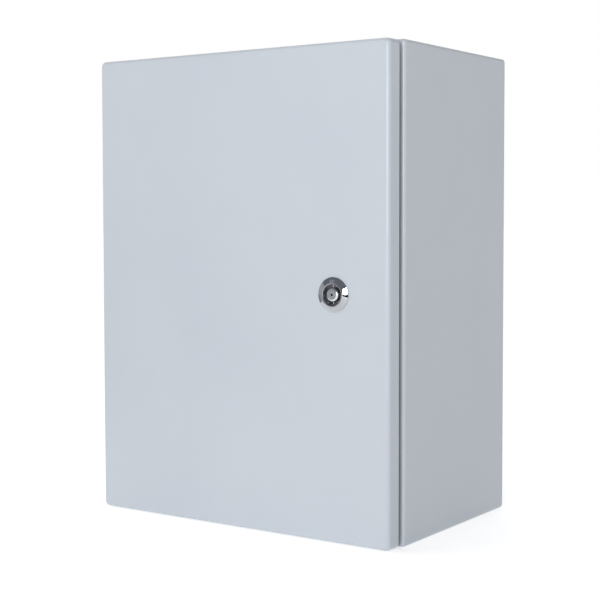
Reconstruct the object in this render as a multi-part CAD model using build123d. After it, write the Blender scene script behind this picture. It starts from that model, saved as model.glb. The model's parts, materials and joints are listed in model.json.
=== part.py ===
from build123d import *

import os
from math import hypot

# Steel wall enclosure with one hinged door and a quarter-turn lock, in millimetres.
# The origin is the middle of the four wall holes, on the outer rear face.
# +X is to the right seen from the front, +Y points into the wall and +Z is up.
# Places along the depth are given as distances off the wall, so y is minus the distance.

# Overall size, door included
width = 300
height = 400
depth = 200

# Sheet metal
body_sheet = 1.2
door_sheet = 1.5
body_fold_radius = 2.5
door_fold_radius = 3.5
body_corner_radius = 3
door_corner_radius = 4.5

# Front edge of the body: a flat flange turned in, then a lip turned forward
lip_corner_radius = 8

# Rear pan and wall holes
rear_pan_depth = 15
wall_hole_inset = 25
wall_hole_radius = 4.5

# Door
door_step = 1
door_rim_depth = 15
door_gap = 7
gasket_width = 8.5
gasket_thickness = 8
gasket_edge_radius = 3
gasket_hinge_clearance = 0.55
soft_clearance = 0.3

# Hinges: a rolled strip on each side of the pin
hinge_end_margin = 65
hinge_pin_setback = 8
hinge_pin_radius = 2
hinge_pin_head_rim = 1
hinge_pin_head_height = 1.2
hinge_pin_run = 0.05
hinge_strip = 1.5
hinge_fold_radius = 1.5
hinge_rim_clearance = 0.45
hinge_neck_clearance = 0.7
hinge_eye_length = 10
hinge_door_eye_length = 19
hinge_eye_gap = 0.5
hinge_foot_end = 2.5
hinge_neck_cut = 6
hinge_frame_stud_spacing = 24
hinge_door_stud_offset = 6
hinge_door_plate_end = 4

# Lock, centred on the height of the door
lock_inset = 52
lock_flange_radius = 14
lock_rim_height = 0.8
lock_proud = 3
lock_crown_land = 0.6
lock_flange_swell = 0.15
lock_mouth_bevel = 0.5
lock_mouth_bevel_height = 0.4
lock_recess_depth = 11
lock_barrel_radius = 10.9
lock_barrel_wall = 2.4
lock_tail = 2.7
lock_barrel_flats = 20
lock_bore_radius = 6
lock_run = 0.05
lock_hole_clearance = 0.25
lock_rim_width = 1.6
seal_thickness = 0.6
lock_nut_flats = 27
lock_nut_thickness = 5

# Double-bit post and the square that carries the cam
post_radius = 5.8
post_setback = 0.2
post_edge_radius = 2
post_hole_radius = 0.9
post_hole_depth = 5
bit_clearance = 0.7
bit_width = 1
bit_setback = 3
insert_seat_gap = 0.3
square_size = 8
square_short = 0.2
ring_section_radius = 0.7
ring_setback = 3
cam_gap = 1.5
cam_thickness = 3
cam_hub_radius = 9
cam_tip_radius = 6
cam_engagement = 10

# Mounting plate
plate_margin = 25
plate_thickness = 2
plate_corner_cut = 20
plate_standoff = 20
plate_stud_side_inset = 15
plate_stud_end_inset = 25
plate_collar_radius = 6

# Gland opening in the floor and the plate over it
gland_side_margin = 60
gland_front_margin = 65
gland_rear_margin = 55
gland_corner_radius = 6
gland_overlap = 20
gland_plate_thickness = 1.5
gland_gasket_thickness = 3
gland_gasket_margin = 2

# Earth studs
earth_stud_length = 20
earth_floor_margin = 50
body_earth_setback = 30
door_earth_inset = 23

# Threads by their outer radius, with nuts and washers to suit
m4_radius = 2
m4_flats = 7
m4_nut = 3.2
m5_radius = 2.5
m5_flats = 8
m5_nut = 4
m6_radius = 3
m6_flats = 10
m6_nut = 5
m6_head = 4
m6_washer_radius = 6
m8_radius = 4
m8_flats = 13
m8_nut = 6.5
m8_washer_radius = 8
washer_thickness = 1.6
hole_clearance = 0.5
tip_bevel_share = 0.25
nut_bevel_share = 0.9
roll_end_angle = 15
slack = 0.001

# Hinge axis, with the radius that the door's rim sweeps about it
hinge_rim_reach = door_sheet + hinge_rim_clearance + hinge_pin_radius + hinge_pin_run + hinge_strip
hinge_rim_sweep = hypot(hinge_rim_reach, door_rim_depth - hinge_pin_setback)
hinge_neck_reach = hinge_rim_sweep + hinge_neck_clearance
hinge_pin_inset = door_step + hinge_rim_reach
hinge_x = -width / 2 + hinge_pin_inset
hinge_y = -depth + hinge_pin_setback
hinge_height = height / 2 - hinge_end_margin
hinge_span = 2 * hinge_eye_length + hinge_door_eye_length + 2 * hinge_eye_gap

# The door stands a step in from the body's sides
door_width = width - 2 * door_step
door_height = height - 2 * door_step

# Planes by their distance off the wall
door_inner = depth - door_sheet
door_rim = depth - door_rim_depth
flange_front = door_rim - door_gap
flange_rear = flange_front - body_sheet
gasket_rear = door_inner - gasket_thickness
lip_front = gasket_rear - soft_clearance

# The lip stands clear of the hinges by the gasket's width, and the mouth is inside it
gasket_inset = hinge_pin_inset + hinge_neck_reach + hinge_strip + gasket_hinge_clearance
lip_inset = gasket_inset + (gasket_width + body_sheet) / 2
mouth_width = width - 2 * lip_inset
mouth_height = height - 2 * lip_inset
lip_width = mouth_width + 2 * body_sheet
lip_height = mouth_height + 2 * body_sheet

# The plate on the door's side of a hinge reaches nearly to the gasket
hinge_plate_reach = gasket_inset - gasket_hinge_clearance - hinge_pin_inset
hinge_door_stud_spacing = hinge_span + 2 * hinge_door_stud_offset
hinge_plate_length = hinge_door_stud_spacing + 2 * hinge_door_plate_end
hinge_foot_middle = (hinge_neck_reach + hinge_strip - hinge_foot_end) / 2

# Lock, by its axis and by distances off the wall
lock_x = width / 2 - lock_inset
lock_crown = depth + lock_proud
lock_floor = lock_crown - lock_recess_depth
lock_recess_radius = lock_barrel_radius - lock_barrel_wall
lock_mouth_radius = lock_recess_radius + lock_mouth_bevel
lock_crown_radius = lock_mouth_radius + lock_crown_land
seal_outer_radius = lock_flange_radius - lock_rim_width
bit_reach = lock_recess_radius - bit_clearance
ring_centre_radius = lock_bore_radius - soft_clearance - ring_section_radius
cam_front = flange_rear - cam_gap
cam_rear = cam_front - cam_thickness
lock_rear = cam_front + lock_tail
cam_bolt_end = lock_floor - m6_radius
cam_length = lip_width / 2 + cam_engagement - cam_tip_radius - lock_x

# Mounting plate
plate_width = width - 2 * plate_margin
plate_height = height - 2 * plate_margin
plate_front = plate_standoff + plate_thickness

# Gland opening
gland_opening_width = width - 2 * gland_side_margin
gland_opening_depth = depth - gland_front_margin - gland_rear_margin
gland_centre = gland_rear_margin + gland_opening_depth / 2
gland_plate_width = gland_opening_width + 2 * gland_overlap
gland_plate_depth = gland_opening_depth + 2 * gland_overlap

# Earth studs
earth_height = -height / 2 + earth_floor_margin
door_earth_x = -mouth_width / 2 + door_earth_inset
body_earth_distance = flange_rear - body_earth_setback


# Basic forms

def prism(outline, start, end):
    """A front-view outline, solid from one distance off the wall to another."""
    return extrude(Plane.XZ.offset(start) * outline, amount=end - start)


def edges_at(shape, distance):
    """The edges of a shape that lie flat at one distance off the wall."""
    return shape.edges().filter_by_position(Axis.Y, -distance - slack, slack - distance)


def folded_block(size_x, size_z, start, end, corner, fold):
    """A block with rounded corners and a fold radius round its closed end."""
    block = prism(RectangleRounded(size_x, size_z, corner), start, end)
    return fillet(edges_at(block, end), fold)


def pan(size_x, size_z, start, end, corner, fold, sheet):
    """A folded sheet-metal pan, open at its start and closed at its end."""
    skin = sheet if end > start else -sheet
    outside = folded_block(size_x, size_z, start, end, corner, fold)
    inside = folded_block(
        size_x - 2 * sheet, size_z - 2 * sheet,
        start, end - skin, corner - sheet, fold - sheet,
    )
    return outside - inside


def facing_front(x, distance, z):
    """A frame whose own Z points to the front."""
    return Plane(origin=(x, -distance, z), x_dir=(1, 0, 0), z_dir=(0, -1, 0))


def facing_wall(x, distance, z):
    """A frame whose own Z points to the wall."""
    return Plane(origin=(x, -distance, z), x_dir=(1, 0, 0), z_dir=(0, 1, 0))


def bar(radius, length):
    """A round bar that stands on its own origin."""
    return Cylinder(radius, length, align=(Align.CENTER, Align.CENTER, Align.MIN))


def stud(radius, length):
    """A threaded stud, shown by its outer radius, with a bevelled tip."""
    plain = bar(radius, length)
    return chamfer(plain.edges().group_by(Axis.Z)[-1], radius * tip_bevel_share)


def washer(radius, hole_radius, thickness):
    return bar(radius, thickness) - bar(hole_radius, thickness)


def hexagon(flats, thickness):
    """A hexagonal block with its corners turned off at both ends."""
    block = extrude(RegularPolygon(flats / 2, 6, major_radius=False), amount=thickness)
    corner = RegularPolygon(flats / 2, 6, major_radius=False).radius
    blank = bar(corner, thickness)
    rims = blank.edges().filter_by(GeomType.CIRCLE)
    return block & chamfer(rims, (corner - flats / 2) * nut_bevel_share)


def nut(flats, bore, thickness):
    return hexagon(flats, thickness) - bar(bore, thickness)


def grid(spacing_a, spacing_b):
    """The four corners of a rectangle about the origin."""
    return [(a * spacing_a / 2, b * spacing_b / 2) for a in (-1, 1) for b in (-1, 1)]


# Body

def body_pan(start, end):
    return pan(width, height, start, end, body_corner_radius, body_fold_radius, body_sheet)


def body_wrap():
    """Four walls from one sheet, with the front flange and the lip that the gasket seats on."""
    walls = body_pan(rear_pan_depth, flange_front)
    mouth = RectangleRounded(mouth_width, mouth_height, lip_corner_radius)
    lip_outline = RectangleRounded(lip_width, lip_height, lip_corner_radius + body_sheet)
    walls -= prism(mouth, flange_rear, flange_front)
    walls += prism(lip_outline, flange_rear, lip_front) - prism(mouth, flange_rear, lip_front)
    walls = fillet(lip_edges(walls, flange_front), body_fold_radius - body_sheet)
    walls = fillet(lip_edges(walls, flange_rear), body_fold_radius)
    return walls - gland_opening() - hinge_frame_holes()


def lip_edges(shape, distance):
    """The loop of edges where the lip meets the flange, at one face of the flange."""
    return [
        edge
        for edge in edges_at(shape, distance)
        if abs(edge.center().X) <= lip_width / 2 and abs(edge.center().Z) <= lip_height / 2
    ]


def gland_opening():
    outline = RectangleRounded(gland_opening_width, gland_opening_depth, gland_corner_radius)
    floor = Plane.XY.offset(-height / 2) * Pos(0, -gland_centre)
    return extrude(floor * outline, amount=body_sheet)


def hinge_frame_holes():
    hole = bar(m4_radius + hole_clearance / 2, body_sheet)
    return [facing_front(x, flange_rear, z) * hole for x, z in hinge_frame_stud_places()]


def rear_panel():
    """A shallow pan that closes the rear, butt-welded to the walls and ground flush."""
    panel = body_pan(rear_pan_depth, 0)
    hole = bar(wall_hole_radius, body_sheet)
    places = grid(width - 2 * wall_hole_inset, height - 2 * wall_hole_inset)
    return panel - [facing_front(x, 0, z) * hole for x, z in places]


# Hinges

def strip(path):
    """A plan-view strip of hinge metal that follows a path."""
    return Pos(hinge_x, hinge_y) * trace(path, hinge_strip)


def frame_strip():
    """The goose-neck: an eye rolled round the pin, a neck past the door's rim, a leg and a foot."""
    middle = hinge_pin_radius + hinge_strip / 2
    leg = hinge_neck_reach + hinge_strip / 2
    foot = -flange_front - hinge_y - hinge_strip / 2
    eye = CenterArc((0, 0), middle, -roll_end_angle, 270 + roll_end_angle)
    neck = FilletPolyline(
        (0, -middle), (leg, -middle), (leg, foot), (-hinge_foot_end, foot),
        radius=hinge_fold_radius + hinge_strip / 2,
    )
    return strip(eye + neck)


def door_strip():
    """The door's own eye, with a stalk down to the plate on the door."""
    middle = hinge_pin_radius + hinge_pin_run + hinge_strip / 2
    plate = -door_inner - hinge_y + hinge_strip / 2
    eye = CenterArc((0, 0), middle, -90 - roll_end_angle, 270 + roll_end_angle)
    stalk = FilletPolyline(
        (-middle, 0), (-middle, plate), (hinge_plate_reach, plate),
        radius=hinge_fold_radius + hinge_strip / 2,
    )
    return strip(eye + stalk)


def centred(outline, length):
    """A plan-view outline, solid for a length centred on the origin's height."""
    return extrude(Plane.XY.offset(-length / 2) * outline, amount=length)


def hinge_frame_leaf(side):
    """The leaf on the body: an eye above and below the door's own, with gaps between them."""
    leaf = centred(frame_strip(), hinge_span)
    eye_radius = hinge_pin_radius + hinge_strip + hinge_pin_run
    cut_length = hinge_door_eye_length + 2 * hinge_eye_gap
    cut = Box(
        eye_radius + hinge_neck_cut, 2 * eye_radius, cut_length,
        align=(Align.MIN, Align.CENTER, Align.CENTER),
    )
    leaf -= Pos(hinge_x - eye_radius, hinge_y) * cut
    hole = bar(m4_radius, hinge_strip)
    leaf -= [
        facing_front(x, flange_front, z) * hole
        for x, z in hinge_stud_pair(hinge_foot_middle, hinge_frame_stud_spacing)
    ]
    return Pos(0, 0, side * hinge_height) * leaf


def hinge_door_leaf(side):
    """The leaf on the door: one eye on a plate that is longer than the frame leaf."""
    leaf = centred(door_strip(), hinge_door_eye_length)
    outline = Rectangle(hinge_plate_reach, hinge_strip, align=(Align.MIN, Align.MIN))
    leaf += centred(Pos(hinge_x, -door_inner) * outline, hinge_plate_length)
    hole = bar(m4_radius + hole_clearance / 2, hinge_strip)
    leaf -= [
        facing_wall(x, door_inner, z) * hole
        for x, z in hinge_stud_pair(hinge_plate_reach / 2, hinge_door_stud_spacing)
    ]
    return Pos(0, 0, side * hinge_height) * leaf


def hinge_stud_pair(reach, spacing):
    return [(hinge_x + reach, -spacing / 2), (hinge_x + reach, spacing / 2)]


def both_hinges(pair):
    return [(x, z + side * hinge_height) for side in (-1, 1) for x, z in pair]


def hinge_frame_stud_places():
    return both_hinges(hinge_stud_pair(hinge_foot_middle, hinge_frame_stud_spacing))


def hinge_door_stud_places():
    return both_hinges(hinge_stud_pair(hinge_plate_reach / 2, hinge_door_stud_spacing))


def hinge_pin(side):
    head = bar(hinge_pin_radius + hinge_pin_head_rim, hinge_pin_head_height)
    pin = bar(hinge_pin_radius, hinge_span) + Pos(0, 0, hinge_span) * head
    return Pos(hinge_x, hinge_y, side * hinge_height - hinge_span / 2) * pin


def hinge_frame_studs():
    one = stud(m4_radius, hinge_strip + body_sheet + m4_nut + m4_radius)
    start = flange_front + hinge_strip
    return [facing_wall(x, start, z) * one for x, z in hinge_frame_stud_places()]


def hinge_frame_nuts():
    one = nut(m4_flats, m4_radius, m4_nut)
    return [facing_wall(x, flange_rear, z) * one for x, z in hinge_frame_stud_places()]


def hinge_door_studs():
    one = stud(m4_radius, hinge_strip + m4_nut + m4_radius)
    return [facing_wall(x, door_inner, z) * one for x, z in hinge_door_stud_places()]


def hinge_door_nuts():
    one = nut(m4_flats, m4_radius, m4_nut)
    seat = door_inner - hinge_strip
    return [facing_wall(x, seat, z) * one for x, z in hinge_door_stud_places()]


# Door

def door_panel():
    """The pan that covers the whole front, with a hole that keeps the lock from turning."""
    corner, fold = door_corner_radius, door_fold_radius
    panel = pan(door_width, door_height, door_rim, depth, corner, fold, door_sheet)
    hole = barrel_outline(lock_hole_clearance)
    return panel - prism(Pos(lock_x, 0) * hole, door_inner, depth)


def door_gasket():
    """A foamed bead round the inside of the door, centred on the lip that presses into it."""
    line_width = mouth_width + body_sheet
    line_height = mouth_height + body_sheet
    line_corner = lip_corner_radius + body_sheet / 2
    outer = RectangleRounded(
        line_width + gasket_width, line_height + gasket_width, line_corner + gasket_width / 2
    )
    inner = RectangleRounded(
        line_width - gasket_width, line_height - gasket_width, line_corner - gasket_width / 2
    )
    bead = prism(outer - inner, gasket_rear, door_inner)
    return fillet(edges_at(bead, gasket_rear), gasket_edge_radius)


# Lock

def barrel_outline(clearance):
    """The barrel's section: round, with a flat above and below."""
    radius = lock_barrel_radius + clearance
    return Circle(radius) & Rectangle(2 * radius, lock_barrel_flats + 2 * clearance)


def turned(points):
    """A solid turned about the lock axis from points of radius and distance off the wall."""
    section = make_face(Polyline([(radius, -distance) for radius, distance in points], close=True))
    return revolve(section, Axis.Y)


def lock_housing():
    """Flange and crown in one with the barrel, with a recess for the key round the post."""
    rim = depth + lock_rim_height
    seat = depth + seal_thickness
    dome = SagittaArc(
        (lock_flange_radius, -rim), (lock_crown_radius, -lock_crown), -lock_flange_swell
    )
    edge = Polyline(
        (lock_crown_radius, -lock_crown),
        (lock_mouth_radius, -lock_crown),
        (lock_recess_radius, -lock_crown + lock_mouth_bevel_height),
        (lock_recess_radius, -lock_floor),
        (lock_bore_radius, -lock_floor),
        (lock_bore_radius, -lock_rear),
        (lock_barrel_radius, -lock_rear),
        (lock_barrel_radius, -seat),
        (seal_outer_radius, -seat),
        (seal_outer_radius, -depth),
        (lock_flange_radius, -depth),
        (lock_flange_radius, -rim),
    )
    body = revolve(make_face(dome + edge), Axis.Y)
    spare = Circle(lock_flange_radius) - Rectangle(2 * lock_flange_radius, lock_barrel_flats)
    body -= prism(spare, lock_rear, depth)
    return Pos(lock_x, 0) * body


def lock_seal():
    ring = Circle(seal_outer_radius) - Circle(lock_barrel_radius)
    return prism(Pos(lock_x, 0) * ring, depth, depth + seal_thickness)


def lock_nut():
    ring = nut(lock_nut_flats, lock_barrel_radius, lock_nut_thickness)
    return facing_wall(lock_x, door_inner, 0) * ring


def lock_insert():
    """The turning core: post and bits in the recess, a shaft in the bore and a square behind it."""
    base = lock_floor + insert_seat_gap
    top = lock_crown - post_setback
    shaft = lock_bore_radius - lock_run
    square_end = cam_rear + square_short
    core = turned([
        (0, cam_front), (shaft, cam_front), (shaft, base), (post_radius, base),
        (post_radius, top), (0, top),
    ])
    core = fillet(edges_at(core, top), post_edge_radius)
    core += prism(Rectangle(bit_width, 2 * bit_reach), base, lock_crown - bit_setback)
    core += prism(Rectangle(square_size, square_size), square_end, cam_front)
    core -= prism(Circle(post_hole_radius), top - post_hole_depth, top)
    core -= prism(Circle(m6_radius), square_end, cam_bolt_end)
    groove = Circle(lock_bore_radius) - Circle(ring_centre_radius - ring_section_radius)
    ring_at = lock_rear + ring_setback
    core -= prism(groove, ring_at - ring_section_radius, ring_at + ring_section_radius)
    return Pos(lock_x, 0) * core


def lock_o_ring():
    ring = Torus(ring_centre_radius, ring_section_radius)
    return facing_front(lock_x, lock_rear + ring_setback, 0) * ring


def lock_cam():
    """The tongue, drawn unlocked and upright: a quarter turn puts it behind the flange."""
    hub = Circle(cam_hub_radius)
    tip = Pos(0, cam_length) * Circle(cam_tip_radius)
    outline = make_hull((hub + tip).edges()) - Rectangle(square_size, square_size)
    return prism(Pos(lock_x, 0) * outline, cam_rear, cam_front)


def cam_washer():
    return facing_wall(lock_x, cam_rear, 0) * washer(m6_washer_radius, m6_radius, washer_thickness)


def cam_bolt():
    under_head = cam_rear - washer_thickness
    head = facing_wall(lock_x, under_head, 0) * hexagon(m6_flats, m6_head)
    return head + facing_front(lock_x, under_head, 0) * bar(m6_radius, cam_bolt_end - under_head)


# Mounting plate

def mounting_plate():
    """A flat galvanised plate, its corners cut away so that the wall bolts can be reached."""
    blank = chamfer(Rectangle(plate_width, plate_height).vertices(), plate_corner_cut)
    plate = prism(blank, plate_standoff, plate_front)
    hole = bar(m8_radius + hole_clearance, plate_thickness)
    return plate - [facing_front(x, plate_standoff, z) * hole for x, z in plate_stud_places()]


def plate_stud_places():
    return grid(plate_width - 2 * plate_stud_side_inset, plate_height - 2 * plate_stud_end_inset)


def plate_studs():
    """Collar studs welded to the rear panel: the plate rests on the collars."""
    collar = bar(plate_collar_radius, plate_standoff - body_sheet)
    tail = stud(m8_radius, plate_thickness + washer_thickness + m8_nut + m8_radius)
    one = collar + Pos(0, 0, plate_standoff - body_sheet) * tail
    return [facing_front(x, body_sheet, z) * one for x, z in plate_stud_places()]


def plate_washers():
    one = washer(m8_washer_radius, m8_radius, washer_thickness)
    return [facing_front(x, plate_front, z) * one for x, z in plate_stud_places()]


def plate_nuts():
    one = nut(m8_flats, m8_radius, m8_nut)
    seat = plate_front + washer_thickness
    return [facing_front(x, seat, z) * one for x, z in plate_stud_places()]


# Gland plate

def above_floor(rise):
    """A frame over the middle of the gland opening, at a rise above the inside of the floor."""
    return Pos(0, -gland_centre, -height / 2 + body_sheet + rise)


def gland_stud_places():
    """Six places on the middle line of the rim that the plate laps over."""
    spacing_x = gland_opening_width + gland_overlap
    spacing_y = gland_opening_depth + gland_overlap
    return grid(spacing_x, spacing_y) + [(0, -spacing_y / 2), (0, spacing_y / 2)]


def gland_holes(thickness):
    hole = bar(m5_radius + hole_clearance / 2, thickness)
    return [Pos(x, y) * hole for x, y in gland_stud_places()]


def gland_gasket():
    margin = 2 * gland_gasket_margin
    outer = RectangleRounded(
        gland_plate_width - margin, gland_plate_depth - margin, gland_corner_radius
    )
    inner = RectangleRounded(
        gland_opening_width + margin, gland_opening_depth + margin, gland_corner_radius
    )
    frame = extrude(outer - inner, amount=gland_gasket_thickness)
    return above_floor(0) * (frame - gland_holes(gland_gasket_thickness))


def gland_plate():
    outline = RectangleRounded(gland_plate_width, gland_plate_depth, gland_corner_radius)
    plate = extrude(outline, amount=gland_plate_thickness) - gland_holes(gland_plate_thickness)
    return above_floor(gland_gasket_thickness) * plate


def gland_studs():
    one = stud(m5_radius, gland_gasket_thickness + gland_plate_thickness + m5_nut + m5_radius)
    return [above_floor(0) * Pos(x, y) * one for x, y in gland_stud_places()]


def gland_nuts():
    one = nut(m5_flats, m5_radius, m5_nut)
    seat = above_floor(gland_gasket_thickness + gland_plate_thickness)
    return [seat * Pos(x, y) * one for x, y in gland_stud_places()]


# Earthing

def body_earth_frame(rise):
    """On the inside of the left wall, pointing into the box."""
    x = -width / 2 + body_sheet + rise
    return Plane(origin=(x, -body_earth_distance, earth_height), z_dir=(1, 0, 0))


def door_earth_frame(rise):
    return facing_wall(door_earth_x, door_inner - rise, earth_height)


def earth_stud(frame):
    return frame(0) * stud(m6_radius, earth_stud_length)


def earth_washer(frame):
    return frame(0) * washer(m6_washer_radius, m6_radius, washer_thickness)


def earth_nut(frame):
    return frame(washer_thickness) * nut(m6_flats, m6_radius, m6_nut)


nodes = {
    "body_wrap": body_wrap(),
    "rear_panel": rear_panel(),
    "hinge_frame_leaf_upper": hinge_frame_leaf(1),
    "hinge_frame_leaf_lower": hinge_frame_leaf(-1),
    "hinge_pin_upper": hinge_pin(1),
    "hinge_pin_lower": hinge_pin(-1),
    "hinge_frame_studs": hinge_frame_studs(),
    "hinge_frame_nuts": hinge_frame_nuts(),
    "hinge_door_leaf_upper": hinge_door_leaf(1),
    "hinge_door_leaf_lower": hinge_door_leaf(-1),
    "hinge_door_studs": hinge_door_studs(),
    "hinge_door_nuts": hinge_door_nuts(),
    "door_panel": door_panel(),
    "door_gasket": door_gasket(),
    "lock_housing": lock_housing(),
    "lock_seal": lock_seal(),
    "lock_nut": lock_nut(),
    "lock_insert": lock_insert(),
    "lock_o_ring": lock_o_ring(),
    "lock_cam": lock_cam(),
    "cam_washer": cam_washer(),
    "cam_bolt": cam_bolt(),
    "mounting_plate": mounting_plate(),
    "plate_studs": plate_studs(),
    "plate_washers": plate_washers(),
    "plate_nuts": plate_nuts(),
    "gland_plate": gland_plate(),
    "gland_gasket": gland_gasket(),
    "gland_studs": gland_studs(),
    "gland_nuts": gland_nuts(),
    "body_earth_stud": earth_stud(body_earth_frame),
    "body_earth_washer": earth_washer(body_earth_frame),
    "body_earth_nut": earth_nut(body_earth_frame),
    "door_earth_stud": earth_stud(door_earth_frame),
    "door_earth_washer": earth_washer(door_earth_frame),
    "door_earth_nut": earth_nut(door_earth_frame),
}

os.makedirs("parts", exist_ok=True)
for name, shape in nodes.items():
    solids = shape if isinstance(shape, list) else [shape]
    export_step(Compound(solids), f"parts/{name}.step")
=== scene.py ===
import json
from math import cos, pi, radians, sin

import bmesh
import bpy
from mathutils import Matrix, Vector


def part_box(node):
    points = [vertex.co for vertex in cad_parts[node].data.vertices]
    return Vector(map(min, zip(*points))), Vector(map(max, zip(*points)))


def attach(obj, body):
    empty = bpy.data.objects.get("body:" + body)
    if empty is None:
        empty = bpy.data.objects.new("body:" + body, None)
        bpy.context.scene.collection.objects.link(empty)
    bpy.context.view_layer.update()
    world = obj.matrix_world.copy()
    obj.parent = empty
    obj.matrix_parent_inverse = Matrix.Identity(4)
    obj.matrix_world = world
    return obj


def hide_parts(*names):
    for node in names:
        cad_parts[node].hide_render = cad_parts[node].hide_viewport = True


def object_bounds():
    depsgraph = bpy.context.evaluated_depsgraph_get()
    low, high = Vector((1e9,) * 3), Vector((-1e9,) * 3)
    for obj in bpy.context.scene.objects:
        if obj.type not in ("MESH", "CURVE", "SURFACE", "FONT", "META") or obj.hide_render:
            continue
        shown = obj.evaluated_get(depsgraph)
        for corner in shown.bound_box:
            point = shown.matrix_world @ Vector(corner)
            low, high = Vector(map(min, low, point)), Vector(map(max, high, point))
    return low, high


# Steel wall enclosure: painted sheet-steel box, hinged door, chromed quarter-turn lock.
# Metres, +X to the right seen from the front, +Y into the wall, +Z up.

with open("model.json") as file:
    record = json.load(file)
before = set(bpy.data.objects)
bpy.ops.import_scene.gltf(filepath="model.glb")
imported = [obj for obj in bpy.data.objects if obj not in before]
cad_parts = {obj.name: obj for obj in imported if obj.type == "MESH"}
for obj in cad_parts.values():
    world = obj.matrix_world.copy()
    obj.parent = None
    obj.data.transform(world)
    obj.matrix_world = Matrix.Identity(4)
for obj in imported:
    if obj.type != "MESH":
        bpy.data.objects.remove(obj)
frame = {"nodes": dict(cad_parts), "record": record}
cad_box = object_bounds()
MM = 0.001


# Camera, as fitted to the outline of the box, with the small shift of the photograph's framing

CAMERA_PLACE = Vector((671.4, -1086.3, 64.9)) * MM
CAMERA_TURN = radians(34.8)
CAMERA_TILT = radians(2.81)
CAMERA_ROLL = radians(-0.12)
CAMERA_LENS = 80.11
CAMERA_SHIFT = (0.0177, -0.0362)


def toward(turn, rise):
    """The direction to a place round the box: a turn to the right of the front and a rise."""
    return Vector((sin(turn) * cos(rise), -cos(turn) * cos(rise), sin(rise)))


def photo_camera():
    """A camera at the photograph's place, looking along its own -Z."""
    back = toward(CAMERA_TURN, CAMERA_TILT)
    right = Vector((cos(CAMERA_TURN), sin(CAMERA_TURN), 0))
    up = back.cross(right)
    level = Matrix((right, up, back)).transposed().to_4x4()
    data = bpy.data.cameras.new("photo_camera")
    data.lens = CAMERA_LENS
    data.shift_x, data.shift_y = CAMERA_SHIFT
    camera = bpy.data.objects.new("photo_camera", data)
    rolled = level @ Matrix.Rotation(CAMERA_ROLL, 4, "Z")
    camera.matrix_world = Matrix.Translation(CAMERA_PLACE) @ rolled
    bpy.context.scene.collection.objects.link(camera)
    bpy.context.scene.camera = camera


# Nodes, colours and meshes

def linear(hex_colour):
    """An sRGB hex colour as the linear RGBA that the shaders work in."""
    parts = [int(hex_colour[i:i + 2], 16) / 255 for i in (1, 3, 5)]
    return [c / 12.92 if c <= 0.04045 else ((c + 0.055) / 1.055) ** 2.4 for c in parts] + [1]


def per_mm(size):
    """The texture scale whose features are this many millimetres across."""
    return 1 / (size * MM)


def node(tree, kind, inputs=None, **settings):
    """Adds a node with its settings. Inputs given a node or a socket are linked, others set."""
    made = tree.nodes.new(kind)
    for name, value in settings.items():
        setattr(made, name, value)
    for name, value in (inputs or {}).items():
        if isinstance(value, bpy.types.Node):
            value = value.outputs[0]
        if isinstance(value, bpy.types.NodeSocket):
            tree.links.new(value, made.inputs[name])
        else:
            made.inputs[name].default_value = value
    return made


def empty_tree(owner):
    """The node tree of a new material or world, with nothing in it."""
    owner.use_nodes = True
    owner.node_tree.nodes.clear()
    return owner.node_tree


def start_material(name):
    """A new material, its empty tree and the place on the object that its patterns read."""
    material = bpy.data.materials.new(name)
    tree = empty_tree(material)
    return material, tree, node(tree, "ShaderNodeTexCoord").outputs["Object"]


def mesh_object(bm, name):
    """Puts a finished bmesh in the scene as an object at the origin."""
    mesh = bpy.data.meshes.new(name)
    bm.to_mesh(mesh)
    bm.free()
    made = bpy.data.objects.new(name, mesh)
    bpy.context.scene.collection.objects.link(made)
    return made


def join(whole, part):
    """Adds a part's mesh to a larger one."""
    mesh = bpy.data.meshes.new("part")
    part.to_mesh(mesh)
    part.free()
    whole.from_mesh(mesh)
    bpy.data.meshes.remove(mesh)


# Studio: a white room, a softbox at the front right, weak lamps at the left and behind

WHITE = linear("#FFFFFF")
ROOM_FILL = 0.34
SOFTBOX_TURN, SOFTBOX_RISE = radians(19.5), radians(7.8)
SOFTBOX_ROLL = radians(20)
SOFTBOX_DISTANCE = 2.2
SOFTBOX_WIDTH, SOFTBOX_HEIGHT = 0.66, 0.76
SOFTBOX_POWER = 17.2
FLOOR_SIZE = 40
FLOOR_PAINT = linear("#F4F4F4")
FLOOR_GLOW, FLOOR_BOUNCE = 0.52, 0.22

# Far lamps: turn, rise and spread in degrees, and power
LAMPS = {
    "left_lamp": (-60, 35, 50, 0.5),
    "rear_lamp": (200, 30, 50, 0.8),
}

# Cards that only reflections show: centre, half sizes and grey
CARDS = {
    "ceiling_card": ((0, -2.4, 0.85), (4.0, 2.2, 0), "#7E8188"),
    "rear_ceiling_card": ((0, 1.3, 0.85), (4.0, 0.7, 0), "#C2C4C8"),
    "left_card": ((-2.4, 0.4, 0.2), (0, 2.4, 0.64), "#C6C8CC"),
    "front_left_card": ((-1.4, -1.9, 0.1), (0.8, 0.5, 0.4), "#A6A8AC"),
    "ceiling_lamp": ((-0.57, -0.75, 0.8), (0.25, 0.15, 0), "#A8AAB0"),
    "left_floor_card": ((-1.85, -0.2, -0.19), (1.35, 1.6, 0), "#A2A4A9"),
    "softbox_foot": ((0.5, -1.3, -0.105), (0.27, 0, 0.076), "#141517"),
}
CARD_WELD = 1 * MM


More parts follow.
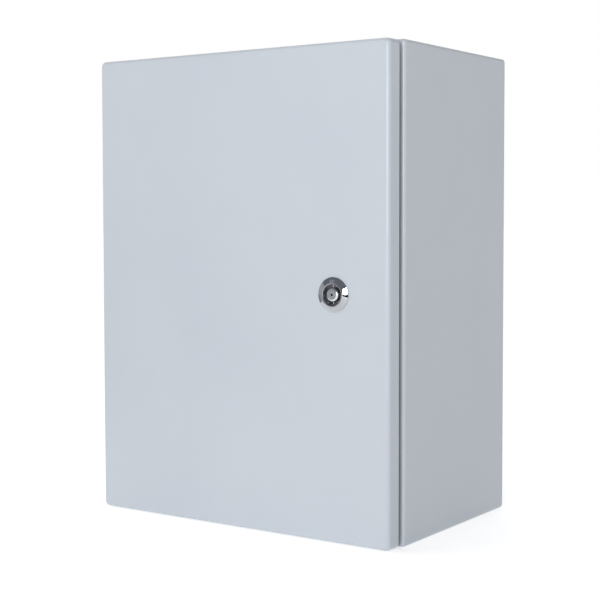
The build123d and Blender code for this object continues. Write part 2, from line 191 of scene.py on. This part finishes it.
def room():
    """White to the camera and in reflections, and a plain soft fill on everything else."""
    world = bpy.data.worlds.new("white_room")
    tree = empty_tree(world)
    ray = node(tree, "ShaderNodeLightPath").outputs
    seen = node(tree, "ShaderNodeMath", {
        0: ray["Is Camera Ray"], 1: ray["Is Glossy Ray"],
    }, operation="MAXIMUM")
    seen = node(tree, "ShaderNodeMath", {
        0: seen, 1: ray["Is Transmission Ray"],
    }, operation="MAXIMUM")
    fill = node(tree, "ShaderNodeBackground", {"Color": WHITE, "Strength": ROOM_FILL})
    wall = node(tree, "ShaderNodeBackground", {"Color": WHITE, "Strength": 1})
    both = node(tree, "ShaderNodeMixShader", {0: seen, 1: fill, 2: wall})
    node(tree, "ShaderNodeOutputWorld", {"Surface": both})
    bpy.context.scene.world = world


def far_lamp(name, turn, rise, spread, power):
    """A broad lamp far away."""
    data = bpy.data.lights.new(name, "SUN")
    data.energy = power
    data.angle = radians(spread)
    lamp = bpy.data.objects.new(name, data)
    facing = toward(radians(turn), radians(rise))
    lamp.rotation_euler = facing.to_track_quat("Z", "Y").to_euler()
    bpy.context.scene.collection.objects.link(lamp)


def softbox():
    """A near lamp, rolled a little: its light falls off across the door, and chrome shows it."""
    data = bpy.data.lights.new("softbox", "AREA")
    data.shape = "RECTANGLE"
    data.size, data.size_y = SOFTBOX_WIDTH, SOFTBOX_HEIGHT
    data.energy = SOFTBOX_POWER
    lamp = bpy.data.objects.new("softbox", data)
    facing = toward(SOFTBOX_TURN, SOFTBOX_RISE)
    middle = (cad_box[0] + cad_box[1]) / 2
    aimed = facing.to_track_quat("Z", "Y").to_matrix().to_4x4()
    rolled = aimed @ Matrix.Rotation(SOFTBOX_ROLL, 4, "Z")
    lamp.matrix_world = Matrix.Translation(middle + facing * SOFTBOX_DISTANCE) @ rolled
    bpy.context.scene.collection.objects.link(lamp)


def card(name, centre, half_size, grey):
    """A card, or a block where no half size is 0, of even brightness that only reflections show."""
    bm = bmesh.new()
    bmesh.ops.create_cube(bm, size=2)
    bmesh.ops.scale(bm, verts=bm.verts, vec=half_size)
    bmesh.ops.translate(bm, verts=bm.verts, vec=centre)
    bmesh.ops.remove_doubles(bm, verts=bm.verts, dist=CARD_WELD)
    made = mesh_object(bm, name)
    material = bpy.data.materials.new(name)
    tree = empty_tree(material)
    even = node(tree, "ShaderNodeEmission", {"Color": linear(grey), "Strength": 1})
    node(tree, "ShaderNodeOutputMaterial", {"Surface": even})
    made.data.materials.append(material)
    made.visible_camera = made.visible_diffuse = made.visible_shadow = False


def white_floor():
    """Pale floor that runs into the white room and keeps a faint shadow of the box."""
    bm = bmesh.new()
    bmesh.ops.create_grid(bm, x_segments=1, y_segments=1, size=FLOOR_SIZE / 2)
    bmesh.ops.translate(bm, verts=bm.verts, vec=(0, 0, cad_box[0].z))
    floor = mesh_object(bm, "floor")
    material = bpy.data.materials.new("white_floor")
    tree = empty_tree(material)
    ray = node(tree, "ShaderNodeLightPath").outputs
    seen = node(tree, "ShaderNodeMath", {
        0: ray["Is Camera Ray"], 1: ray["Is Glossy Ray"],
    }, operation="MAXIMUM")
    share = node(tree, "ShaderNodeMapRange", {
        "Value": seen, "To Min": FLOOR_BOUNCE, "To Max": FLOOR_GLOW,
    })
    paint = node(tree, "ShaderNodeBsdfDiffuse", {"Color": FLOOR_PAINT})
    glow = node(tree, "ShaderNodeEmission", {"Color": WHITE, "Strength": share})
    both = node(tree, "ShaderNodeAddShader", {0: paint, 1: glow})
    node(tree, "ShaderNodeOutputMaterial", {"Surface": both})
    floor.data.materials.append(material)


# Weld studs with cut threads

CAD_WELD = 0.001 * MM
THREAD_WELD = 0.01 * MM
THREAD_STEPS = 18
SPARE_TURNS = 4

# In pitches: how deep the thread is, where its crest starts and ends, how far the profile starts
# below the foot, and how much the last turn is reduced. The slope is how fast it widens again.
THREAD_DEPTH = 0.61
CREST_START, CREST_END = 0.42, 0.56
PROFILE_DROP = 1.5
TIP_LOSS = 0.5
TIP_SLOPE = 2

COLLAR_SEGMENTS = 40
COLLAR_EDGE = 0.4 * MM

COPPER, ZINC = "copper_plated_stud", "zinc_plated_steel"
M8, M6, M5, M4 = (4, 1.25), (3, 1), (2.5, 0.8), (2, 0.7)
TO_FRONT, TO_REAR, TO_RIGHT, TO_TOP = (0, -1, 0), (0, 1, 0), (1, 0, 0), (0, 0, 1)

# Each node of studs: its body, slot, radius and pitch, direction and collar's length, in mm
STUDS = {
    "plate_studs": ("enclosure", COPPER, M8, TO_FRONT, 18.8),
    "gland_studs": ("enclosure", COPPER, M5, TO_TOP, 0),
    "hinge_frame_studs": ("enclosure", ZINC, M4, TO_REAR, 0),
    "hinge_door_studs": ("door", COPPER, M4, TO_REAR, 0),
    "body_earth_stud": ("enclosure", COPPER, M6, TO_RIGHT, 0),
    "door_earth_stud": ("door", COPPER, M6, TO_REAR, 0),
}


def solids_of(name):
    """The lowest and highest corner of each separate solid in a CAD node."""
    bm = bmesh.new()
    bm.from_mesh(frame["nodes"][name].data)
    bmesh.ops.remove_doubles(bm, verts=bm.verts, dist=CAD_WELD)
    left = set(bm.verts)
    boxes = []
    while left:
        found = {left.pop()}
        growing = list(found)
        while growing:
            near = {e.other_vert(v) for v in [growing.pop()] for e in v.link_edges} - found
            found |= near
            growing += near
        left -= found
        corners = [[pick(v.co[axis] for v in found) for axis in range(3)] for pick in (min, max)]
        boxes.append([Vector(corner) for corner in corners])
    bm.free()
    return boxes


def thread(bm, radius, pitch, length):
    """A screw thread up +Z from the origin: a profile swept up a helix, cut flat, tip reduced."""
    root = radius - THREAD_DEPTH * pitch
    profile = [(root, 0), (radius, CREST_START), (radius, CREST_END), (root, 1)]
    verts = [bm.verts.new((r, 0, (z - PROFILE_DROP) * pitch)) for r, z in profile]
    edges = [bm.edges.new(pair) for pair in zip(verts, verts[1:])]
    turns = int(length / pitch) + SPARE_TURNS
    bmesh.ops.spin(
        bm, geom=verts + edges, axis=(0, 0, 1), cent=(0, 0, 0), dvec=(0, 0, pitch / THREAD_STEPS),
        angle=2 * pi * turns, steps=turns * THREAD_STEPS, use_duplicate=False,
    )
    bmesh.ops.remove_doubles(bm, verts=bm.verts, dist=THREAD_WELD)
    for height, up in ((0, -1), (length, 1)):
        everything = bm.verts[:] + bm.edges[:] + bm.faces[:]
        cut = bmesh.ops.bisect_plane(
            bm, geom=everything, plane_co=(0, 0, height), plane_no=(0, 0, up), clear_outer=True,
        )
        rim = [e for e in cut["geom_cut"] if isinstance(e, bmesh.types.BMEdge)]
        bmesh.ops.contextual_create(bm, geom=rim)
    for vert in bm.verts:
        reach = vert.co.xy.length
        below_tip = max(0, length - pitch - vert.co.z)
        widest = radius - TIP_LOSS * pitch + TIP_SLOPE * below_tip
        if reach > widest:
            vert.co.xy *= widest / reach
    bmesh.ops.recalc_face_normals(bm, faces=bm.faces)


def collar(bm, radius, length):
    """A plain turned collar below the thread, its edges broken."""
    rings = bmesh.ops.create_circle(bm, cap_ends=True, radius=radius, segments=COLLAR_SEGMENTS)
    face = rings["verts"][0].link_faces[0]
    raised = bmesh.ops.extrude_face_region(bm, geom=[face])["geom"]
    top = [v for v in raised if isinstance(v, bmesh.types.BMVert)]
    bmesh.ops.translate(bm, verts=top, vec=(0, 0, length))
    upper = [e for e in bm.edges if all(v.co.z > length / 2 for v in e.verts)]
    rim = [e for e in upper if len(e.link_faces) == 2]
    bmesh.ops.bevel(
        bm, geom=rim, offset=COLLAR_EDGE, affect="EDGES", segments=2, profile=0.5, material=-1,
    )


def threaded_studs(node_name, body, radius, pitch, towards, collar_length):
    """Stands for a node of weld studs, with cut threads in place of its plain outer cylinders."""
    whole = bmesh.new()
    towards = Vector(towards)
    turn = towards.to_track_quat("Z", "Y").to_matrix().to_4x4()
    for low, high in solids_of(node_name):
        middle = (low + high) / 2
        length = abs((high - low).dot(towards))
        foot = middle - towards * length / 2
        one = bmesh.new()
        thread(one, radius * MM, pitch * MM, length - collar_length * MM)
        bmesh.ops.translate(one, verts=one.verts, vec=(0, 0, collar_length * MM))
        if collar_length:
            step = bmesh.new()
            collar(step, (high - low).z / 2, collar_length * MM)
            join(one, step)
        bmesh.ops.transform(one, verts=one.verts, matrix=Matrix.Translation(foot) @ turn)
        join(whole, one)
    piece = mesh_object(whole, "threaded_" + node_name)
    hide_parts(node_name)
    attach(piece, body)
    return piece


# Materials

# Zones of the lock's finish, in millimetres from its axis, and the width of their soft edge.
# The recess and the post's dimple are darker as painted shade.
LOCK_RECESS_RADIUS = 8.95
LOCK_POST_RADIUS = 5.85
LOCK_DIMPLE_RADIUS = 0.85
LOCK_ZONE_EDGE = 0.2


def powder_coat():
    """Polyester powder coat, baked: satin, with the shallow orange peel of melted powder, 2 mm
    from crest to crest."""
    material, tree, place = start_material("powder_coat_light_grey")
    drift = node(tree, "ShaderNodeTexNoise", {"Vector": place, "Scale": per_mm(90), "Detail": 2})
    colour = node(tree, "ShaderNodeMixRGB", {
        "Fac": drift, "Color1": linear("#C6CDD6"), "Color2": linear("#CCD3DB"),
    })
    sheen = node(tree, "ShaderNodeTexNoise", {"Vector": place, "Scale": per_mm(30), "Detail": 0})
    rough = node(tree, "ShaderNodeMapRange", {"Value": sheen, "To Min": 0.27, "To Max": 0.33})
    peel = node(tree, "ShaderNodeTexNoise", {"Vector": place, "Scale": per_mm(2), "Detail": 1.5})
    grain = node(tree, "ShaderNodeTexNoise", {"Vector": place, "Scale": per_mm(0.4), "Detail": 1})
    coarse = node(tree, "ShaderNodeBump", {"Strength": 1, "Distance": 0.02 * MM, "Height": peel})
    fine = node(tree, "ShaderNodeBump", {
        "Strength": 1, "Distance": 0.003 * MM, "Height": grain, "Normal": coarse,
    })
    shader = node(tree, "ShaderNodeBsdfPrincipled", {
        "Base Color": colour, "Roughness": rough, "Normal": fine,
    })
    node(tree, "ShaderNodeOutputMaterial", {"Surface": shader})
    return material


def outside(tree, place, radius):
    """0 within this many millimetres of the lock's axis and 1 beyond."""
    low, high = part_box("lock_housing")
    middle = tuple((low + high) / 2)
    apart = node(tree, "ShaderNodeVectorMath", {0: place, 1: middle}, operation="SUBTRACT")
    flat = node(tree, "ShaderNodeVectorMath", {0: apart, 1: (1, 0, 1)}, operation="MULTIPLY")
    away = node(tree, "ShaderNodeVectorMath", {0: flat}, operation="LENGTH").outputs["Value"]
    return node(tree, "ShaderNodeMapRange", {
        "Value": away, "From Min": radius * MM, "From Max": (radius + LOCK_ZONE_EDGE) * MM,
    })


def lock_chrome():
    """Chrome plate on a buffed zinc casting: a mirror with a faint ripple, rougher down the
    recess, out of the polisher's reach, and painted shade there: a darker grey."""
    material, tree, place = start_material("chromed_zinc_casting")
    polished_and_unshaded = outside(tree, place, LOCK_RECESS_RADIUS)
    # Painted shade: a darker grey down the recess than on the mirror face around it.
    colour = node(tree, "ShaderNodeMixRGB", {
        "Fac": polished_and_unshaded, "Color1": linear("#A6A8AC"), "Color2": linear("#B9BBBF"),
    })
    wipe = node(tree, "ShaderNodeTexNoise", {"Vector": place, "Scale": per_mm(2.5), "Detail": 4})
    gloss = node(tree, "ShaderNodeMapRange", {"Value": wipe, "To Min": 0.015, "To Max": 0.05})
    rough = node(tree, "ShaderNodeMix", {"Factor": polished_and_unshaded, "A": 0.28, "B": gloss})
    ripple = node(tree, "ShaderNodeTexNoise", {"Vector": place, "Scale": per_mm(3), "Detail": 1})
    wave = node(tree, "ShaderNodeBump", {"Strength": 1, "Distance": 0.01 * MM, "Height": ripple})
    shader = node(tree, "ShaderNodeBsdfPrincipled", {
        "Base Color": colour, "Metallic": 1, "Roughness": rough, "Normal": wave,
    })
    node(tree, "ShaderNodeOutputMaterial", {"Surface": shader})
    return material


def core_chrome():
    """Plated zinc core, tumbled: soft reflections on the post, painted shade in its dimple, near
    black, and bits beside it a darker grey and matt."""
    material, tree, place = start_material("chromed_zinc_core")
    wear = node(tree, "ShaderNodeTexNoise", {"Vector": place, "Scale": per_mm(1.5), "Detail": 4})
    post_colour = node(tree, "ShaderNodeMixRGB", {
        "Fac": wear, "Color1": linear("#CBCCCF"), "Color2": linear("#DFE0E2"),
    })
    dull = outside(tree, place, LOCK_POST_RADIUS)
    beside = node(tree, "ShaderNodeMixRGB", {
        "Fac": dull, "Color1": post_colour, "Color2": linear("#BCBEC2"),
    })
    # Painted shade: the dimple at the post's centre is near black.
    dimple = outside(tree, place, LOCK_DIMPLE_RADIUS)
    colour = node(tree, "ShaderNodeMixRGB", {
        "Fac": dimple, "Color1": linear("#2B2C2E"), "Color2": beside,
    })
    gloss = node(tree, "ShaderNodeMapRange", {"Value": wear, "To Min": 0.1, "To Max": 0.26})
    rough = node(tree, "ShaderNodeMix", {"Factor": dull, "A": gloss, "B": 0.45})
    dents = node(tree, "ShaderNodeBump", {"Strength": 1, "Distance": 0.01 * MM, "Height": wear})
    shader = node(tree, "ShaderNodeBsdfPrincipled", {
        "Base Color": colour, "Metallic": 1, "Roughness": rough, "Normal": dents,
    })
    node(tree, "ShaderNodeOutputMaterial", {"Surface": shader})
    return material


def zinc_plate():
    """Barrel zinc plate, clear passivated: bright grey metal with a faint blue and straw bloom."""
    material, tree, place = start_material("zinc_plated_steel")
    bloom = node(tree, "ShaderNodeTexNoise", {"Vector": place, "Scale": per_mm(12), "Detail": 2})
    colour = node(tree, "ShaderNodeMixRGB", {
        "Fac": bloom, "Color1": linear("#BAC3CC"), "Color2": linear("#CFCBC0"),
    })
    tumble = node(tree, "ShaderNodeTexNoise", {"Vector": place, "Scale": per_mm(1.2), "Detail": 5})
    rough = node(tree, "ShaderNodeMapRange", {"Value": tumble, "To Min": 0.15, "To Max": 0.55})
    marks = node(tree, "ShaderNodeBump", {"Strength": 1, "Distance": 0.02 * MM, "Height": tumble})
    shader = node(tree, "ShaderNodeBsdfPrincipled", {
        "Base Color": colour, "Metallic": 1, "Roughness": rough, "Normal": marks,
    })
    node(tree, "ShaderNodeOutputMaterial", {"Surface": shader})
    return material


def galvanised():
    """Hot-dip galvanised sheet: crystals of spangle 7 mm across, their borders wandering by up to
    4 mm, each with its own brightness and sheen."""
    material, tree, place = start_material("galvanised_sheet")
    wander = node(tree, "ShaderNodeTexNoise", {"Vector": place, "Scale": per_mm(4), "Detail": 2})
    bent = node(tree, "ShaderNodeVectorMath", {
        0: wander.outputs["Color"], 1: (4 * MM, 4 * MM, 4 * MM), 2: place,
    }, operation="MULTIPLY_ADD")
    spangle = node(tree, "ShaderNodeTexVoronoi", {"Vector": bent, "Scale": per_mm(7)})
    tone = node(tree, "ShaderNodeSeparateColor", {"Color": spangle.outputs["Color"]}).outputs
    colour = node(tree, "ShaderNodeMixRGB", {
        "Fac": tone["Red"], "Color1": linear("#AFB5B9"), "Color2": linear("#C6CBCE"),
    })
    rough = node(tree, "ShaderNodeMapRange", {"Value": tone["Green"], "To Min": 0.3, "To Max": 0.5})
    edges = node(tree, "ShaderNodeBump", {"Strength": 1, "Distance": 0.01 * MM, "Height": spangle})
    shader = node(tree, "ShaderNodeBsdfPrincipled", {
        "Base Color": colour, "Metallic": 1, "Roughness": rough, "Normal": edges,
    })
    node(tree, "ShaderNodeOutputMaterial", {"Surface": shader})
    return material


def copper_flash():
    """Weld stud with a thin copper flash, dulled and darker in places."""
    material, tree, place = start_material("copper_flashed_steel")
    dull = node(tree, "ShaderNodeTexNoise", {"Vector": place, "Scale": per_mm(2), "Detail": 4})
    colour = node(tree, "ShaderNodeMixRGB", {
        "Fac": dull, "Color1": linear("#DDA581"), "Color2": linear("#B27C5C"),
    })
    rough = node(tree, "ShaderNodeMapRange", {"Value": dull, "To Min": 0.2, "To Max": 0.6})
    shader = node(tree, "ShaderNodeBsdfPrincipled", {
        "Base Color": colour, "Metallic": 1, "Roughness": rough,
    })
    node(tree, "ShaderNodeOutputMaterial", {"Surface": shader})
    return material


def foam():
    """Polyurethane foamed in place: a soft closed skin, sunk over bubbles just under 1 mm wide."""
    material, tree, place = start_material("foamed_polyurethane")
    cloud = node(tree, "ShaderNodeTexNoise", {"Vector": place, "Scale": per_mm(5), "Detail": 3})
    colour = node(tree, "ShaderNodeMixRGB", {
        "Fac": cloud, "Color1": linear("#333436"), "Color2": linear("#4E4F51"),
    })
    cells = node(tree, "ShaderNodeTexVoronoi", {"Vector": place, "Scale": per_mm(0.9)})
    skin = node(tree, "ShaderNodeBump", {"Strength": 1, "Distance": 0.12 * MM, "Height": cells})
    swell = node(tree, "ShaderNodeTexNoise", {"Vector": place, "Scale": per_mm(9), "Detail": 2})
    uneven = node(tree, "ShaderNodeBump", {
        "Strength": 1, "Distance": 0.3 * MM, "Height": swell, "Normal": skin,
    })
    shader = node(tree, "ShaderNodeBsdfPrincipled", {
        "Base Color": colour, "Roughness": 0.9, "Normal": uneven,
    })
    node(tree, "ShaderNodeOutputMaterial", {"Surface": shader})
    return material


def rubber():
    """Moulded nitrile rubber: near black and matt, with a dusty bloom."""
    material, tree, place = start_material("moulded_rubber")
    bloom = node(tree, "ShaderNodeTexNoise", {"Vector": place, "Scale": per_mm(3), "Detail": 3})
    colour = node(tree, "ShaderNodeMixRGB", {
        "Fac": bloom, "Color1": linear("#161617"), "Color2": linear("#29292A"),
    })
    rough = node(tree, "ShaderNodeMapRange", {"Value": bloom, "To Min": 0.45, "To Max": 0.75})
    shader = node(tree, "ShaderNodeBsdfPrincipled", {"Base Color": colour, "Roughness": rough})
    node(tree, "ShaderNodeOutputMaterial", {"Surface": shader})
    return material


finishes = {
    "body_paint": powder_coat(),
    "chrome_zinc": lock_chrome(),
    "chrome_core": core_chrome(),
    "zinc_plated_steel": zinc_plate(),
    "galvanised_sheet": galvanised(),
    "copper_plated_stud": copper_flash(),
    "foam_gasket": foam(),
    "black_rubber": rubber(),
}


def dress(piece, slot):
    """Gives a piece the finish of its slot."""
    piece.data.materials.clear()
    piece.data.materials.append(finishes[slot])


# The scene

for part in frame["record"]["subparts"]:
    dress(frame["nodes"][part["node"]], part["material_slot"])
for node_name, (body, slot, (radius, pitch), towards, collar_length) in STUDS.items():
    dress(threaded_studs(node_name, body, radius, pitch, towards, collar_length), slot)

photo_camera()
room()
softbox()
for name, setting in LAMPS.items():
    far_lamp(name, *setting)
for name, setting in CARDS.items():
    card(name, *setting)
white_floor()

bpy.context.scene.view_settings.view_transform = "Standard"
